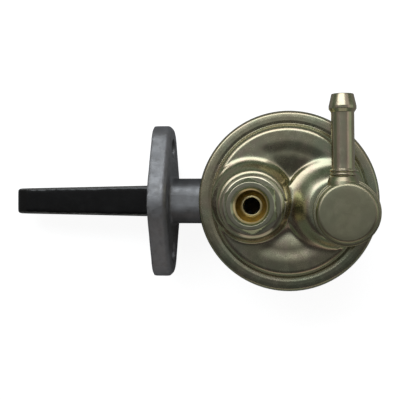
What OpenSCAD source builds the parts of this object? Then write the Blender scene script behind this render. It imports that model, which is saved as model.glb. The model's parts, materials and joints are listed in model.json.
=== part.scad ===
// Mechanical fuel pump, driven by a rocker arm.
// Origin: centre of the mounting face. +Z runs along the diaphragm's axis towards the cover,
// -X points out of the mounting face, where the arm sticks out.

/* [Mounting flange] */
// Distance between the two bolt holes
bolt_spacing = 48; // [46:0.5:52]
// Radius of a bolt hole
bolt_hole_r = 4.4; // [3.3:0.1:5]
// Thickness of the flange
flange_t = 8.8; // [7:0.2:10]
// Radius of the flange's two ends
flange_end_r = 10.8; // [9.6:0.2:11.6]
// Radius of the flange's middle
flange_mid_r = 21; // [19:0.5:23]
// Bevel round the flange's back edge
flange_bevel = 1.8; // [1:0.2:2.6]

/* [Housing] */
// Distance from the mounting face to the diaphragm's axis
axis_x = 62.5; // [60:0.5:66]
// Height of the rim's sealing face above the flange's centre
rim_z = 18.4; // [17.6:0.2:20]
// Thickness of the rim
rim_t = 3.2; // [2.4:0.2:4]
// Outer radius of the bowl under the rim, which all the round sizes of rim and cover follow
bowl_top_r = 33.5; // [32:0.5:35]
// Width of the rim's ledge round the bowl
rim_ledge = 3.9; // [3.5:0.1:4.4]
// Outer radius of the bowl at its bottom
bowl_low_r = 24; // [20:0.5:28]
// Wall of the neck on either side of the arm's chamber
neck_wall = 2.6; // [2.2:0.1:4]
// Height of the neck's top above the flange's centre
neck_top = 13; // [12:0.2:13.6]
// Wall between the arm's chamber and the outside
cast_wall = 2.7; // [2.2:0.1:3.4]
// Gap on either side of the arm in its chamber, in which the side washers sit
arm_side_gap = 0.45; // [0.35:0.05:0.6]
// Height of the chamber's floor below the flange's centre
chamber_floor = 11.4; // [11.2:0.2:13]
// Top of the deck that carries the oil seal
deck_top = 5.5; // [5.1:0.2:6.5]
// Thickness of the deck
deck_t = 4; // [3.4:0.2:4.2]

/* [Cover] */
// Wall of the crimped edge outside the housing's rim
crimp_wall = 1.8; // [1.6:0.1:2.2]
// Width of the crimped edge's rounded top
crimp_top_w = 2.8; // [2.5:0.1:3.2]
// Width of the groove inside the crimp
groove_w = 3.4; // [3:0.1:3.8]
// Run of the wall that rises from the groove to the shelf
wall_run = 2.7; // [2.3:0.1:3.4]
// Width of the shelf
shelf_w = 5.3; // [4.4:0.1:6]
// Thickness of the pressed sheet
sheet_t = 1.2; // [0.9:0.1:1.4]
// Height of the shelf above the groove
shelf_h = 5.2; // [4:0.2:6.5]
// Depth of the two fan-shaped floors below the shelf
fan_depth = 3; // [2:0.2:3.4]
// Height of the inlet lobe above the shelf
inlet_lobe_h = 6.1; // [5:0.2:8]
// Height of the outlet lobe above the shelf
outlet_lobe_h = 5.2; // [4.4:0.2:7]

/* [Inlet fitting] */
// Place of the fitting from the diaphragm's axis, along X
inlet_x = -14.4; // [-15.4:0.2:-13.8]
// Place of the fitting from the diaphragm's axis, along Y
inlet_y = -2.2; // [-3.2:0.2:-1.2]
// Radius of the round collar
collar_r = 13.7; // [13:0.1:14.4]
// Height of the collar
collar_h = 2.8; // [2:0.2:4]
// Hexagon across its flats
hex_af = 21; // [19:0.5:23]
// Turn of the hexagon, in degrees
hex_turn = 35; // [0:1:59]
// Height of the hexagon
hex_h = 7.4; // [5:0.2:10]
// Radius of the threaded bore at its crests
port_r = 7.2; // [6.4:0.1:7.6]
// Depth of the threaded bore
port_depth = 10; // [8.6:0.2:10.6]
// Radius of the hole through the flare seat
seat_hole_r = 3.6; // [2.4:0.1:4]

/* [Outlet cup and nipple] */
// Place of the cup from the diaphragm's axis, along X
outlet_x = 25.2; // [24.6:0.2:26]
// Place of the cup from the diaphragm's axis, along Y
outlet_y = -4.9; // [-5.9:0.2:-4.3]
// Outer radius of the cup
cup_r = 12.7; // [12.2:0.1:13.4]
// Outer radius of the cup's foot flange
cup_foot_r = 14.2; // [14:0.1:15]
// Height of the cup
cup_h = 13.6; // [12:0.2:18]
// Direction of the nipple, in degrees from the +X axis
nipple_turn = 90.5; // [75:0.5:105]
// Offset of the nipple from the cup's axis
nipple_offset = 1.6; // [0:0.1:2]
// Length of the nipple from the cup's axis
nipple_len = 48.8; // [44:0.2:56]
// Outer radius of the nipple's tube
nipple_r = 4.75; // [3.8:0.05:5]
// Radius of the bead behind the nipple's end
bead_r = 5.7; // [5.2:0.1:6.4]
// Radius of the bore in the nipple
nipple_bore_r = 3.6; // [2.4:0.1:3.7]

/* [Rocker arm] */
// Reach of the arm's tip beyond the mounting face
arm_reach = 69.4; // [50:0.5:75]
// Width of the arm at the flange
arm_w = 14.4; // [13:0.1:16]
// Width of the arm at its tip
arm_tip_w = 12; // [10:0.2:13]
// Thickness of the arm's folded sheet
arm_t = 2.6; // [2:0.1:2.8]
// Largest swing of the arm, in degrees
arm_swing = 6; // [4:0.5:6]
// Distance from the mounting face to the pivot
pivot_x = 19; // [18:0.2:19.6]
// Height of the pivot below the flange's centre
pivot_drop = 3.4; // [3.2:0.1:3.8]
// Radius of the pivot pin
pin_r = 3.2; // [2.6:0.1:3.4]
// Outer radius of the bush on the pin
bush_r = 4.8; // [4.4:0.1:5.2]
// Outer radius of the arm's hub
hub_r = 7.2; // [6.6:0.1:7.4]

/* [Diaphragm] */
// Radius of the pull rod
rod_r = 3; // [2.4:0.1:3.2]
// Radial gap between the two metal plates and the bowl's mouth
plate_margin = 8.5; // [7:0.5:11]
// Thickness of each plate
plate_t = 1.2; // [1:0.1:1.4]
// Thickness of the diaphragm
diaphragm_t = 0.8; // [0.6:0.1:1]
// How far the plates rest below the rim's sealing face
plate_drop = 0.8; // [0.6:0.1:1.4]
// Mean radius of the diaphragm spring
spring_r = 13; // [11.5:0.5:15]
// Wire radius of the diaphragm spring
spring_wire_r = 1; // [0.8:0.1:1.2]

/* [Valves] */
// Place of the outlet valve from the diaphragm's axis, along X
outlet_valve_x = 20.5; // [19.9:0.2:20.9]
// Place of the outlet valve from the diaphragm's axis, along Y
outlet_valve_y = -3.4; // [-4.4:0.2:-2.4]
// Radius of the bore that holds a valve
valve_bore_r = 6.6; // [6:0.1:7]
// Radius of a valve disc
valve_disc_r = 5.2; // [4.6:0.1:5.6]
// Thickness of a valve disc
valve_disc_t = 0.8; // [0.6:0.1:1]
// Travel of a valve disc
valve_lift = 1.3; // [0.8:0.1:1.5]

/* [Clearances] */
// Radial clearance of the arm and the link on their bearings
run_gap = 0.05; // [0.02:0.01:0.09]
// Radial clearance between pressed or seated pieces
seat_gap = 0.03; // [0.01:0.01:0.05]
// Gap between pieces that pass each other
pass_gap = 0.3; // [0.2:0.05:0.4]

/* [Hidden] */

// Round sizes of rim and cover, from the bowl outwards and back in over the crimp
rim_r = bowl_top_r + rim_ledge;
cover_r = rim_r + crimp_wall;
groove_r = cover_r - crimp_top_w;
shoulder_r = groove_r - groove_w;
shelf_r = shoulder_r - wall_run;
fan_top_r = shelf_r - shelf_w;
fan_low_r = fan_top_r - 3.3;
// The places of the lobes, the fitting, the cup and the valves spread with the bowl
spread = bowl_top_r / 33.5;
inlet_at = spread * [inlet_x, inlet_y];
outlet_at = spread * [outlet_x, outlet_y];
outlet_valve_at = spread * [outlet_valve_x, outlet_valve_y];
// Heights of the stack that the crimp holds together, from the housing's rim upwards
gasket_t = 0.6;
valve_flange_t = 1.2;
valve_flange_z = rim_z + diaphragm_t;
gasket_z = valve_flange_z + valve_flange_t;
groove_z = gasket_z + gasket_t + sheet_t;
shelf_z = groove_z + shelf_h;
fan_z = shelf_z - fan_depth;
inlet_lobe_z = shelf_z + inlet_lobe_h;
outlet_lobe_z = shelf_z + outlet_lobe_h;
// The valve body's deck lies just under the fan floors
valve_deck_z = fan_z - sheet_t - 0.1;
valve_deck_t = 2.1;
valve_low_z = valve_deck_z - valve_deck_t;
valve_boss_r = valve_bore_r + 2;
valve_boss_z = valve_deck_z + 5;
divider_x = 2.5;
divider_t = 2.4;
// The cover's crimp and the base circles of the two lobes
crimp_gap = 0.1;
crimp_lip = 2.6;
crimp_z = rim_z - rim_t - crimp_gap / 2;
inlet_base = spread * [-15.6, 0.4];
inlet_base_r = 17.4 * spread;
inlet_top_r = collar_r + 1.1;
outlet_base = spread * [18, -1.5];
outlet_base_r = 18.4 * spread;
outlet_top = outlet_at + [-1.9, 0.8];
outlet_top_r = 13.2;
waist_r = 4.2;
waist_y = -0.8;
inlet_waist_x = 0.5;
outlet_waist_x = -3;
// The fitting's spigot and the cup's feed hole in the lobes
spigot_r = 9;
spigot_h = 3;
feed_r = 6;
// The nipple's two rings, its axis above the cup's foot, and its end
nipple_z = outlet_lobe_z + 6.9;
ring_r = nipple_r + 0.85;
ring_t = 1.1;
bead_len = 6.2;
// The port's undercut, and the flare seat's cone at its bottom
undercut = 0.4;
seat_lip = 0.8;
seat_h = 3.2;
// The chamber and the neck round it follow the arm
chamber_w = arm_w + 2 * arm_side_gap;
neck_w = chamber_w + 2 * neck_wall;
// The chamber's two ceilings, and where the low one starts
chamber_high = neck_top - cast_wall;
chamber_low = deck_top - deck_t;
chamber_step = 30;
chamber_end = axis_x + 10;
housing_floor = chamber_floor + cast_wall;
bowl_wall = 4;
bowl_in_top_r = bowl_top_r - bowl_wall;
bowl_in_low_r = bowl_in_top_r - 4.5;
plate_r = bowl_in_top_r - plate_margin;
seal_r = 6.5;
seal_pocket = 2.4;
vent_r = 1.5;
// The arm's side view
arm_top = 3.6;
arm_low = -8;
web_end = pivot_x - hub_r - 0.3;
heel_start = pivot_x + hub_r + 1.2;
heel_end = heel_start + 6.2;
heel_top = chamber_low - pass_gap - 0.1;
heel_t = 2.2;
tip_top = -2.2;
tip_low = -10.8;
tip_solid = 6.4;
// The link, which rests half a swing above level
link_len = axis_x - pivot_x;
link_lean = arm_swing / 2;
link_w = arm_w - 2 * arm_t - 0.4;
link_hub_r = hub_r - 0.8;
link_t = 3;
fork_w = 13.8;
slot_r = rod_r + 0.4;
fork_z = link_len * sin(link_lean) - pivot_drop;
// The diaphragm's plates at rest, and the foot of the pull rod under the fork
membrane_z = rim_z - plate_drop;
foot_top = fork_z - link_t / 2 - pass_gap;
foot_t = 2.4;
foot_r = 5.5;
// Springs
return_spring_x = 8;
return_spring_r = 3.9;
return_wire_r = 0.55;
valve_spring_r = 2.4;
valve_wire_r = 0.2;
stem_r = 1.1;
// The inlet valve opens downwards, the outlet valve upwards
valve_seat_t = 1.2;
valve_room = 5;
stem_len = valve_room + 0.6;
valve_touch = valve_seat_t / 2 + valve_disc_t / 2 + 0.02;
inlet_seat_z = valve_boss_z - 1.2;
inlet_disc_z = inlet_seat_z - valve_touch;
inlet_cage_z = inlet_seat_z - valve_room;
outlet_seat_z = valve_low_z + 0.8;
outlet_disc_z = outlet_seat_z + valve_touch;
outlet_cage_z = outlet_seat_z + valve_room;
// Top of the cup that holds the oil seal
retainer_z = deck_top + 3.6;

function unit(v) = v / norm(v);
function turn_between(a, b) = let (d = b - a) d > 180 ? d - 360 : d < -180 ? d + 360 : d;
// The arc of radius c[2] that rounds the corner c between its neighbours p and q
function corner(p, c, q, steps) =
    let (
        at = [c[0], c[1]],
        u = unit([p[0], p[1]] - at),
        v = unit([q[0], q[1]] - at),
        half = acos(u * v) / 2,
        mid = at + unit(u + v) * c[2] / sin(half),
        from = at + u * c[2] / tan(half) - mid,
        to = at + v * c[2] / tan(half) - mid,
        start = atan2(from.y, from.x),
        sweep = turn_between(start, atan2(to.y, to.x))
    )
    c[2] == 0 ? [at]
    : [for (i = [0:steps])
        let (a = start + sweep * i / steps)
        mid + c[2] * [cos(a), sin(a)]];
// A closed outline of corners [x, y, radius]
function rounded(path, steps = 4) =
    [for (i = [0:len(path) - 1])
        each corner(path[(i + len(path) - 1) % len(path)], path[i], path[(i + 1) % len(path)], steps)];

module at_axis() translate([axis_x, 0, 0]) children();
module at_inlet() translate([axis_x + inlet_at.x, inlet_at.y, 0]) children();
module at_outlet() translate([axis_x + outlet_at.x, outlet_at.y, 0]) children();
module at_outlet_valve() translate([axis_x + outlet_valve_at.x, outlet_valve_at.y, 0]) children();
module at_pivot() translate([pivot_x, 0, -pivot_drop]) children();
module along_nipple() translate([-nipple_offset, 0, nipple_z]) rotate([0, 90, nipple_turn]) children();
// A cylinder along Y, centred on the XZ plane
module cross_bar(r, len, fn = 64) rotate([90, 0, 0]) cylinder(r = r, h = len, center = true, $fn = fn);
// An outline in X and Z, extruded along Y and centred
module side_plate(w) translate([0, w / 2, 0]) rotate([90, 0, 0]) linear_extrude(w) children();
// An outline in Y and Z, extruded along +X
module face_plate(len) rotate([90, 0, 90]) linear_extrude(len) children();
module ring(outer, inner, z0, z1, fn = 96) translate([0, 0, z0]) difference() {
    cylinder(r = outer, h = z1 - z0, $fn = fn);
    translate([0, 0, -1]) cylinder(r = inner, h = z1 - z0 + 2, $fn = fn);
}

function arc(centre, r, from, to, steps) =
    [for (i = [0:steps])
        let (a = from + (to - from) * i / steps)
        centre + r * [cos(a), sin(a)]];

// The flange's outline: a large arc on either side, a small one at either end, and their tangents
module flange_outline(inset) {
    half = bolt_spacing / 2;
    lean = acos((flange_mid_r - flange_end_r) / half);
    end_r = flange_end_r - inset;
    mid_r = flange_mid_r - inset;
    polygon(concat(
        arc([half, 0], end_r, -lean, lean, 16),
        arc([0, 0], mid_r, lean, 180 - lean, 10),
        arc([-half, 0], end_r, 180 - lean, 180 + lean, 16),
        arc([0, 0], mid_r, 180 + lean, 360 - lean, 10)
    ));
}
// The flange with its back edge bevelled
module flange() hull() {
    face_plate(flange_t - flange_bevel) flange_outline(0);
    face_plate(flange_t) flange_outline(flange_bevel);
}

module neck_outline() {
    half = neck_w / 2;
    polygon(rounded([
        [-half, -housing_floor, 3], [half, -housing_floor, 3],
        [half, neck_top, 7.5], [-half, neck_top, 7.5]
    ], 6));
}

module chamber_outline(ceiling) {
    half = chamber_w / 2;
    polygon(rounded([
        [-half, -chamber_floor, 0.8], [half, -chamber_floor, 0.8],
        [half, ceiling, 0.8], [-half, ceiling, 0.8]
    ]));
}

module bowl_outside() rotate_extrude($fn = 128) polygon(rounded([
    [0, -housing_floor, 0], [bowl_low_r, -housing_floor, 5], [bowl_top_r, rim_z - rim_t - 2, 4],
    [bowl_top_r, rim_z - rim_t, 0], [rim_r, rim_z - rim_t, 0.4], [rim_r, rim_z, 0.4], [0, rim_z, 0]
]));

module bowl_inside() rotate_extrude($fn = 128) polygon(rounded([
    [0, deck_top, 0], [bowl_in_low_r, deck_top, 3], [bowl_in_top_r, rim_z - 2, 0],
    [bowl_in_top_r + 0.8, rim_z + 1, 0], [0, rim_z + 1, 0]
]));

module lower_housing() color("silver") difference() {
    union() {
        flange();
        translate([flange_t - 1, 0, 0]) face_plate(axis_x - flange_t) neck_outline();
        at_axis() bowl_outside();
    }
    translate([-1, 0, 0]) face_plate(chamber_step + 1) chamber_outline(chamber_high);
    translate([chamber_step - 1, 0, 0])
        face_plate(chamber_end - chamber_step + 1) chamber_outline(chamber_low);
    at_axis() bowl_inside();
    at_axis() translate([0, 0, chamber_low - 1]) cylinder(r = rod_r + 1, h = deck_t + 2, $fn = 48);
    at_axis() translate([0, 0, deck_top - seal_pocket])
        cylinder(r = seal_r + seat_gap, h = deck_t, $fn = 64);
    for (s = [-1, 1]) translate([-1, s * bolt_spacing / 2, 0]) rotate([0, 90, 0])
        cylinder(r = bolt_hole_r, h = flange_t + 2, $fn = 64);
    at_pivot() cross_bar(pin_r + seat_gap, neck_w + 1);
    for (s = [-1, 1]) at_pivot() translate([0, s * neck_w / 2, 0]) cross_bar(pin_r + 1.6 + seat_gap, 2);
    // Breather hole of the diaphragm's dry side
    translate([axis_x + bowl_in_low_r - 4, 0, deck_top + 5]) rotate([0, 90, 0])
        cylinder(r = vent_r, h = bowl_top_r - bowl_in_low_r + 6, $fn = 32);
}

// The cover's round form. inset 0 gives its outside, inset sheet_t the room inside it.
module cover_round(inset, bottom) rotate_extrude($fn = 128) polygon(rounded([
    [0, bottom, 0], [groove_r - inset, bottom, 0],
    [groove_r - inset, groove_z - inset, 0],
    [shoulder_r - 0.7 * inset, groove_z - inset, 0.8],
    [shelf_r - 0.7 * inset, shelf_z - inset, 2.2 - 0.6 * inset],
    [fan_top_r + 0.5 * inset, shelf_z - inset, 1.4],
    [fan_low_r + 0.5 * inset, fan_z - inset, 1.4],
    [0, fan_z - inset, 0]
]));

// A lobe: a round base with a pointed waist, drawn up to a round top
module lobe(base, base_r, waist_x, top, top_r, top_z, inset) {
    low = groove_z - sheet_t - inset;
    hull() {
        translate([base.x, base.y, low]) cylinder(r = base_r - inset, h = 0.1, $fn = 48);
        translate([waist_x, waist_y, low]) cylinder(r = waist_r - inset, h = 0.1, $fn = 32);
        for (step = [[1.4, 0], [0.5, 0.4], [0.1, 1.3]])
            translate([top.x, top.y, top_z - inset - step[0]])
                cylinder(r = top_r - inset - step[1], h = 0.1, $fn = 48);
    }
}

module lobes(inset) {
    lobe(inlet_base, inlet_base_r, inlet_waist_x, inlet_at, inlet_top_r, inlet_lobe_z, inset);
    lobe(outlet_base, outlet_base_r, outlet_waist_x, outlet_top, outlet_top_r, outlet_lobe_z, inset);
}

// The rolled edge that grips the housing's rim
module crimp() rotate_extrude($fn = 128) difference() {
    polygon(rounded([
        [groove_r - 3, groove_z - sheet_t, 0],
        [groove_r - 0.6, groove_z, 0.8],
        [groove_r + 0.6, groove_z + 0.5, 0.8],
        [cover_r, groove_z + 0.5, 2.2],
        [cover_r, crimp_z - sheet_t, 1],
        [cover_r - crimp_lip - sheet_t, crimp_z - sheet_t, 0.5],
        [cover_r - crimp_lip - sheet_t, crimp_z, 0.3],
        [groove_r - 3, crimp_z, 0]
    ]));
    translate([0, crimp_z]) square([rim_r + crimp_gap, groove_z - sheet_t - crimp_z]);
}

module cover() color([0.62, 0.58, 0.42]) at_axis() difference() {
    union() {
        difference() {
            union() {
                cover_round(0, groove_z - sheet_t);
                lobes(0);
            }
            translate([0, 0, groove_z - 3 * sheet_t]) cylinder(r = cover_r, h = 2 * sheet_t, $fn = 96);
            cover_round(sheet_t, groove_z - sheet_t - 1);
            lobes(sheet_t);
        }
        crimp();
    }
    translate([inlet_at.x, inlet_at.y, fan_z])
        cylinder(r = spigot_r + seat_gap, h = inlet_lobe_z - fan_z + 1, $fn = 96);
    translate([outlet_at.x, outlet_at.y, fan_z])
        cylinder(r = feed_r, h = outlet_lobe_z - fan_z + 1, $fn = 64);
}

module cover_gasket() color("dimgray") at_axis()
    ring(rim_r, shoulder_r - 0.6, gasket_z, gasket_z + gasket_t);

module valve_body() color("gainsboro") at_axis() difference() {
    union() {
        rotate_extrude($fn = 128) polygon([
            [0, valve_low_z], [0, valve_deck_z],
            [shelf_r - 1.8, valve_deck_z], [shelf_r - 0.4, gasket_z],
            [rim_r, gasket_z], [rim_r, valve_flange_z],
            [shelf_r - 1, valve_flange_z], [shelf_r - 2.2, valve_low_z]
        ]);
        for (at = [inlet_at, outlet_valve_at]) translate([at.x, at.y, valve_low_z])
            cylinder(r = valve_boss_r, h = valve_boss_z - valve_low_z, $fn = 64);
        // The dividing wall follows the room inside the cover and parts inlet from outlet
        intersection() {
            translate([divider_x - divider_t / 2, -shelf_r, valve_low_z + 0.5])
                cube([divider_t, 2 * shelf_r, inlet_lobe_z]);
            translate([0, 0, -0.15]) union() {
                cover_round(sheet_t + 0.1, gasket_z);
                lobes(sheet_t + 0.1);
            }
        }
    }
    for (at = [inlet_at, outlet_valve_at]) translate([at.x, at.y, valve_low_z - 1])
        cylinder(r = valve_bore_r, h = valve_boss_z - valve_low_z + 2, $fn = 64);
}

module inlet_fitting() color([0.72, 0.68, 0.5]) at_inlet() difference() {
    top = inlet_lobe_z + collar_h + hex_h;
    bore_low = top - port_depth;
    union() {
        translate([0, 0, inlet_lobe_z - spigot_h]) cylinder(r = spigot_r, h = spigot_h + 1, $fn = 96);
        rotate_extrude($fn = 96) polygon(rounded([
            [0, inlet_lobe_z, 0], [collar_r, inlet_lobe_z, 0.5],
            [collar_r, inlet_lobe_z + collar_h - 0.8, 0.6],
            [collar_r - 1.2, inlet_lobe_z + collar_h, 0.6], [0, inlet_lobe_z + collar_h, 0]
        ]));
        intersection() {
            translate([0, 0, inlet_lobe_z + 1]) rotate(hex_turn)
                cylinder(r = hex_af / 2 / cos(30), h = collar_h + hex_h - 1, $fn = 6);
            rotate_extrude($fn = 96) polygon([
                [0, inlet_lobe_z], [hex_af, inlet_lobe_z],
                [hex_af, top - 5.6], [hex_af / 2 - 0.3, top], [0, top]
            ]);
        }
    }
    difference() {
        union() {
            translate([0, 0, bore_low]) cylinder(r = port_r, h = port_depth + 1, $fn = 96);
            translate([0, 0, bore_low]) cylinder(r = port_r + undercut, h = seat_h + undercut, $fn = 96);
        }
        // The raised cone that a flared pipe seals on
        translate([0, 0, bore_low - 1])
            cylinder(r1 = port_r + 1, r2 = seat_hole_r + seat_lip, h = seat_h + 1, $fn = 96);
    }
    translate([0, 0, top - 0.8]) cylinder(r1 = port_r - 0.1, r2 = port_r + 0.8, h = 0.9, $fn = 96);
    translate([0, 0, inlet_lobe_z - spigot_h - 1]) cylinder(r = seat_hole_r, h = top, $fn = 64);
}

module outlet_cup() color([0.6, 0.57, 0.42]) at_outlet() difference() {
    top = outlet_lobe_z + cup_h;
    rotate_extrude($fn = 128) difference() {
        polygon(rounded([
            [0, outlet_lobe_z, 0], [cup_foot_r, outlet_lobe_z, 0.4],
            [cup_foot_r, outlet_lobe_z + sheet_t, 0.5],
            [cup_r, outlet_lobe_z + sheet_t, 0.5], [cup_r, top, 1.8], [0, top, 0]
        ]));
        polygon(rounded([
            [-1, outlet_lobe_z - 1, 0], [cup_r - sheet_t, outlet_lobe_z - 1, 0],
            [cup_r - sheet_t, top - sheet_t, 0.8], [-1, top - sheet_t, 0]
        ]));
    }
    along_nipple() cylinder(r = nipple_r + seat_gap, h = cup_r + 4, $fn = 64);
}

module outlet_nipple() color([0.68, 0.64, 0.46]) at_outlet() along_nipple() difference() {
    ring_z = [cup_r + 2.5, cup_r + 4];
    bead_z = nipple_len - bead_len;
    rotate_extrude($fn = 96) polygon(rounded([
        [0, cup_r - 2.2, 0], [nipple_r, cup_r - 2.2, 0.3], [nipple_r, ring_z[0], 0],
        [ring_r, ring_z[0], 0.4], [ring_r, ring_z[0] + ring_t, 0.4],
        [nipple_r + 0.2, ring_z[0] + ring_t, 0], [nipple_r + 0.2, ring_z[1], 0],
        [ring_r, ring_z[1], 0.4], [ring_r, ring_z[1] + ring_t, 0.4], [nipple_r, ring_z[1] + ring_t, 0],
        [nipple_r, bead_z - 1.4, 0.5], [bead_r, bead_z, 0.4], [bead_r, bead_z + 1.2, 0.5],
        [nipple_r - 0.2, nipple_len, 0.3], [0, nipple_len, 0]
    ]));
    translate([0, 0, cup_r - 4]) cylinder(r = nipple_bore_r, h = nipple_len, $fn = 64);
}

// A valve seat: a pressed disc with six ports and a stem that guides the valve disc
module valve_seat(z, up) color("goldenrod") {
    difference() {
        translate([0, 0, z - valve_seat_t / 2])
            cylinder(r = valve_bore_r - seat_gap, h = valve_seat_t, $fn = 64);
        for (i = [0:5]) rotate(i * 60) translate([3.3, 0, z - 1]) cylinder(r = 1.1, h = 2, $fn = 24);
    }
    translate([0, 0, up ? z : z - stem_len]) cylinder(r = stem_r, h = stem_len, $fn = 32);
}
module valve_disc(z) color("black")
    ring(valve_disc_r, stem_r + 0.1, z - valve_disc_t / 2, z + valve_disc_t / 2, 64);
module valve_cage(z) color("goldenrod") difference() {
    translate([0, 0, z - 0.5]) cylinder(r = valve_bore_r - seat_gap, h = 1, $fn = 64);
    translate([0, 0, z - 1]) cylinder(r = stem_r + seat_gap, h = 2, $fn = 32);
    for (i = [0:5]) rotate(i * 60 + 30) translate([4.4, 0, z - 1]) cylinder(r = 1.3, h = 2, $fn = 24);
}

// A compression spring with one dead turn at each end
function spring_rise(u, turns, low, high, wire_r) =
    u < 1 ? low + u * 2.1 * wire_r
    : u > turns - 1 ? high - (turns - u) * 2.1 * wire_r
    : low + 2.1 * wire_r + (u - 1) / (turns - 2) * (high - low - 4.2 * wire_r);
module spring(mean_r, wire_r, z0, z1, turns, steps = 20, sides = 6) {
    count = round(turns * steps);
    low = z0 + wire_r;
    high = z1 - wire_r;
    points = [for (i = [0:count]) for (j = [0:sides - 1])
        let (a = 360 * i / steps, b = 360 * j / sides, r = mean_r + wire_r * cos(b))
        [r * cos(a), r * sin(a), spring_rise(i / steps, turns, low, high, wire_r) + wire_r * sin(b)]];
    walls = [for (i = [0:count - 1]) for (j = [0:sides - 1])
        let (k = (j + 1) % sides, n = i * sides)
        each [[n + j, n + k, n + sides + k], [n + j, n + sides + k, n + sides + j]]];
    ends = [[for (j = [sides - 1:-1:0]) j], [for (j = [0:sides - 1]) count * sides + j]];
    polyhedron(points, concat(walls, ends), convexity = 10);
}

module valve_spring(z0, z1) spring(valve_spring_r, valve_wire_r, z0, z1, 4.5, 16);

module inlet_valve_seat() at_inlet() valve_seat(inlet_seat_z, false);
module inlet_valve_disc() at_inlet() valve_disc(inlet_disc_z);
module inlet_valve_cage() at_inlet() valve_cage(inlet_cage_z);
module inlet_valve_spring() color("lightgray") at_inlet()
    valve_spring(inlet_cage_z + 0.55, inlet_disc_z - valve_disc_t / 2 - 0.05);
module outlet_valve_seat() at_outlet_valve() valve_seat(outlet_seat_z, true);
module outlet_valve_disc() at_outlet_valve() valve_disc(outlet_disc_z);
module outlet_valve_cage() at_outlet_valve() valve_cage(outlet_cage_z);
module outlet_valve_spring() color("lightgray") at_outlet_valve()
    valve_spring(outlet_disc_z + valve_disc_t / 2 + 0.05, outlet_cage_z - 0.55);

module diaphragm() color("saddlebrown") at_axis() rotate_extrude($fn = 96) {
    low = membrane_z;
    high = rim_z;
    polygon([
        [rod_r + seat_gap, low], [plate_r + 2, low],
        [bowl_in_top_r - 3, low - 1.2], [bowl_in_top_r, high],
        [rim_r, high], [rim_r, high + diaphragm_t], [bowl_in_top_r - 0.6, high + diaphragm_t],
        [bowl_in_top_r - 3.4, low - 1.2 + diaphragm_t],
        [plate_r + 1.6, low + diaphragm_t], [rod_r + seat_gap, low + diaphragm_t]
    ]);
}
module diaphragm_top_plate() color("silver") at_axis()
    ring(plate_r, rod_r + seat_gap, membrane_z + diaphragm_t, membrane_z + diaphragm_t + plate_t);
module diaphragm_bottom_plate() color("silver") at_axis()
    ring(plate_r, rod_r + seat_gap, membrane_z - plate_t, membrane_z);

module pull_rod() color("lightsteelblue") at_axis() {
    head_z = membrane_z + diaphragm_t + plate_t;
    translate([0, 0, foot_top - foot_t]) cylinder(r = rod_r, h = head_z - foot_top + foot_t, $fn = 48);
    translate([0, 0, head_z]) cylinder(r1 = rod_r + 2, r2 = rod_r + 1.2, h = 0.7, $fn = 48);
    translate([0, 0, membrane_z - plate_t - 1]) cylinder(r = rod_r + 1.5, h = 1, $fn = 48);
    translate([0, 0, foot_top - foot_t]) cylinder(r = foot_r, h = foot_t - 0.6, $fn = 48);
    translate([0, 0, foot_top - 0.6]) cylinder(r1 = foot_r, r2 = rod_r, h = 0.6, $fn = 48);
}

module oil_seal() color("black") at_axis() {
    ring(seal_r, rod_r + 0.9, deck_top - seal_pocket, deck_top, 64);
    ring(seal_r - 1.2, rod_r + run_gap, deck_top, deck_top + 2.6, 64);
}
module seal_retainer() color("gray") at_axis() difference() {
    rotate_extrude($fn = 96) polygon(rounded([
        [0, deck_top, 0], [spring_r + 2.6, deck_top, 0.3], [spring_r + 2.6, deck_top + 1, 0.3],
        [seal_r + 1, deck_top + 1, 0.5], [seal_r + 0.6, retainer_z, 0.6], [0, retainer_z, 0]
    ]));
    translate([0, 0, deck_top - 1])
        cylinder(r = seal_r - 0.6, h = retainer_z - deck_top + 0.2, $fn = 64);
    translate([0, 0, deck_top]) cylinder(r = rod_r + 0.6, h = 10, $fn = 48);
}
module diaphragm_spring() color("lightgray") at_axis()
    spring(spring_r, spring_wire_r, deck_top + 1.05, membrane_z - plate_t - 0.05, 4.5, 32, 8);

module arm_side() {
    tip = -arm_reach;
    polygon(rounded([
        [heel_end, heel_top, 0.6], [heel_start, heel_top, 1.4],
        [pivot_x + 3, hub_r - pivot_drop + 0.1, 3], [pivot_x - 5, arm_top, 3], [0, arm_top - 0.2, 3],
        [tip + 7, tip_top, 6], [tip, tip_top - 3, 4], [tip + 1, tip_low, 1.5], [tip + 7, tip_low, 3],
        [tip + 13, arm_low - 0.6, 4], [0, arm_low, 3],
        [pivot_x - 5, -pivot_drop - hub_r, 5], [pivot_x + 5, -pivot_drop - hub_r, 5],
        [heel_end, heel_top - heel_t - 1.4, 2]
    ], 6));
}
module arm_plan() {
    tip = -arm_reach;
    polygon(rounded([
        [heel_end + 1, -arm_w / 2, 0], [0, -arm_w / 2, 0],
        [tip + 0.3, -arm_tip_w / 2, 1.7], [tip, 0, 20], [tip + 0.3, arm_tip_w / 2, 1.7],
        [0, arm_w / 2, 0], [heel_end + 1, arm_w / 2, 0]
    ], 6));
}
// The room between the arm's folded walls, under its web
module arm_hollow() {
    tip = -arm_reach;
    polygon([
        [tip + tip_solid, -30], [tip + tip_solid, tip_top - arm_t - 0.4], [0, arm_top - arm_t - 0.2],
        [web_end, arm_top - arm_t], [web_end, 30], [heel_start, 30], [heel_start, heel_top - heel_t],
        [heel_end + 2, heel_top - heel_t + 0.4], [heel_end + 2, -30]
    ]);
}
module rocker_arm() color("black") difference() {
    intersection() {
        side_plate(arm_w + 1) arm_side();
        translate([0, 0, -20]) linear_extrude(40) arm_plan();
    }
    side_plate(arm_w - 2 * arm_t) arm_hollow();
    at_pivot() cross_bar(bush_r + seat_gap, arm_w + 2);
}

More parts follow.
